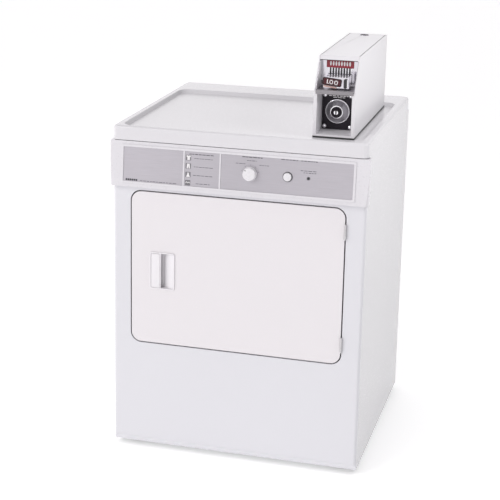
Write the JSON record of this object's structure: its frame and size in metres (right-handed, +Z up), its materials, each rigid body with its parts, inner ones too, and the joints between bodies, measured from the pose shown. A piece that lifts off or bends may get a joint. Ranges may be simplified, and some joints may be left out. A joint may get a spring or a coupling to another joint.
{
  "type": "coin-operated tumble dryer",
  "caption": "Front-loading tumble dryer for a shared laundry: hinged door, belt-driven drum, slanted console, and a coin meter with vault drawer on its recessed top.",
  "frame": {"origin": "centre of the footprint's box on the floor", "axes": "+X to the machine's right seen from the front, +Y to the rear, +Z up"},
  "size_m": [0.694, 0.7158, 1.1135],
  "materials": {
    "white_enamel": "gloss white baked enamel",
    "white_meter": "satin white powder coat",
    "white_console": "white moulded plastic",
    "white_controls": "white moulded plastic",
    "white_trim": "white moulded plastic",
    "liner_enamel": "white enamel",
    "fascia_silver": "silver satin film",
    "black_plastic": "black moulded plastic",
    "galvanised": "galvanised sheet",
    "drum_enamel": "light grey porcelain",
    "bright_steel": "bright steel",
    "hinge_zinc": "zinc plated",
    "chrome_trim": "polished chrome",
    "black_lock": "black enamel",
    "leg_rubber": "rubber foot on a steel screw",
    "black_rubber": "black rubber",
    "felt": "wool felt",
    "cast_bearing": "grey casting",
    "motor_paint": "dark grey paint",
    "element_sheath": "oxidised sheath",
    "vault_steel": "plain steel"
  },
  "bodies": {
    "cabinet": {"base_pan": "galvanised", "side_panel_left": "white_enamel", "side_panel_right": "white_enamel", "rear_panel": "galvanised", "front_panel": "white_enamel", "top_panel": "white_enamel", "console_panel": "white_console", "fascia": "fascia_silver", "fascia_frame": "white_console", "control_switches": "black_plastic", "indicator_lens": "black_plastic", "door_catch": "black_plastic", "hinge_frame_leaves": "hinge_zinc", "door_switch": "black_plastic", "front_bulkhead": "galvanised", "front_felt": "felt", "rear_bulkhead": "galvanised", "rear_bearing": "cast_bearing", "air_duct": "galvanised", "blower_housing": "galvanised", "motor_housing": "motor_paint", "motor_bracket": "galvanised", "drive_belt": "black_rubber", "heater_housing": "galvanised", "heating_element": "element_sheath", "exhaust_duct": "galvanised", "terminal_cover": "galvanised", "panel_screws": "bright_steel", "meter_gasket": "black_rubber", "meter_case": "white_meter", "coin_chute": "chrome_trim"},
    "door": {"door_outer": "white_enamel", "door_inner": "liner_enamel", "door_seal": "black_rubber", "handle_cup": "white_trim", "door_strike": "bright_steel", "hinge_door_leaves": "hinge_zinc"},
    "drum": {"drum_shell": "drum_enamel", "drum_back": "drum_enamel", "drum_baffles": "drum_enamel", "drum_shaft": "bright_steel"},
    "rotor": {"motor_shaft": "bright_steel", "blower_wheel": "black_plastic"},
    "idler_arm": {"idler_arm": "galvanised"},
    "idler_pulley": {"idler_pulley": "black_plastic"},
    "selector": {"selector_knob": "white_controls"},
    "start": {"start_button": "white_controls"},
    "door_switch_plunger": {"switch_plunger": "white_trim"},
    "filter": {"lint_filter": "white_trim"},
    "leg_fl": {"leg_front_left": "leg_rubber"},
    "leg_fr": {"leg_front_right": "leg_rubber"},
    "leg_rl": {"leg_rear_left": "leg_rubber"},
    "leg_rr": {"leg_rear_right": "leg_rubber"},
    "vault": {"vault_drawer": "vault_steel", "lock_plate": "black_lock", "lock_ring": "chrome_trim"},
    "vault_lock": {"lock_cylinder": "black_lock"},
    "slide": {"coin_slide": "chrome_trim"},
    "lid": {"service_lid": "white_meter"},
    "lid_key": {"lid_lock": "black_lock"}
  },
  "joints": [
    {"name": "door_hinge", "type": "hinge", "parent": "cabinet", "child": "door", "pos_m": [0.28975, -0.3336, 0.5265], "axis": [0, 0, 1], "range_deg": [0, 175]},
    {"name": "drum_spin", "type": "hinge", "parent": "cabinet", "child": "drum", "pos_m": [0, 0, 0.535], "axis": [0, 1, 0], "continuous": true},
    {"name": "rotor_spin", "type": "hinge", "parent": "cabinet", "child": "rotor", "pos_m": [0.19, 0, 0.13], "axis": [0, 1, 0], "continuous": true},
    {"name": "idler_arm_swing", "type": "hinge", "parent": "cabinet", "child": "idler_arm", "pos_m": [0.02, 0.046, 0.12], "axis": [0, 1, 0], "range_deg": [0, 12], "stiffness_Nm_per_rad": 2, "springref_deg": -34.38},
    {"name": "idler_pulley_spin", "type": "hinge", "parent": "idler_arm", "child": "idler_pulley", "pos_m": [0.1, 0.06, 0.148], "axis": [0, 1, 0], "continuous": true},
    {"name": "selector_turn", "type": "hinge", "parent": "cabinet", "child": "selector", "pos_m": [0.0365, -0.3395, 0.813], "axis": [0, 0.996, -0.0898], "range_deg": [-30, 120]},
    {"name": "start_press", "type": "slide", "parent": "cabinet", "child": "start", "axis": [0, 0.996, -0.0898], "range_m": [0, 0.004], "stiffness_N_per_m": 300, "springref_m": -0.002},
    {"name": "switch_plunger_slide", "type": "slide", "parent": "cabinet", "child": "door_switch_plunger", "axis": [0, -1, 0], "range_m": [0, 0.004]},
    {"name": "filter_lift", "type": "slide", "parent": "cabinet", "child": "filter", "axis": [0, 0, 1], "range_m": [0, 0.16]},
    {"name": "leg_fl_screw", "type": "slide", "parent": "cabinet", "child": "leg_fl", "axis": [0, 0, 1], "range_m": [-0.02, 0]},
    {"name": "leg_fr_screw", "type": "slide", "parent": "cabinet", "child": "leg_fr", "axis": [0, 0, 1], "range_m": [-0.02, 0]},
    {"name": "leg_rl_screw", "type": "slide", "parent": "cabinet", "child": "leg_rl", "axis": [0, 0, 1], "range_m": [-0.02, 0]},
    {"name": "leg_rr_screw", "type": "slide", "parent": "cabinet", "child": "leg_rr", "axis": [0, 0, 1], "range_m": [-0.02, 0]},
    {"name": "vault_slide", "type": "slide", "parent": "cabinet", "child": "vault", "axis": [0, -1, 0], "range_m": [0, 0.2]},
    {"name": "vault_lock_turn", "type": "hinge", "parent": "vault", "child": "vault_lock", "pos_m": [0.2355, -0.216, 0.968], "axis": [0, 1, 0], "range_deg": [0, 90]},
    {"name": "coin_slide_push", "type": "slide", "parent": "cabinet", "child": "slide", "axis": [0, 1, 0], "range_m": [0, 0.0455], "stiffness_N_per_m": 60, "springref_m": -0.03},
    {"name": "service_lid_lift", "type": "slide", "parent": "cabinet", "child": "lid", "axis": [0, 0, 1], "range_m": [0, 0.15]},
    {"name": "lid_lock_turn", "type": "hinge", "parent": "lid", "child": "lid_key", "pos_m": [0.23, 0.165, 1.112], "axis": [0, 0, -1], "range_deg": [0, 90]}
  ],
  "couplings": [
    {"joint": "rotor_spin", "follows": "drum_spin", "ratio": 29.942},
    {"joint": "idler_pulley_spin", "follows": "drum_spin", "ratio": -13.308},
    {"joint": "switch_plunger_slide", "follows": "door_hinge", "m_per_rad": 0.0013}
  ]
}
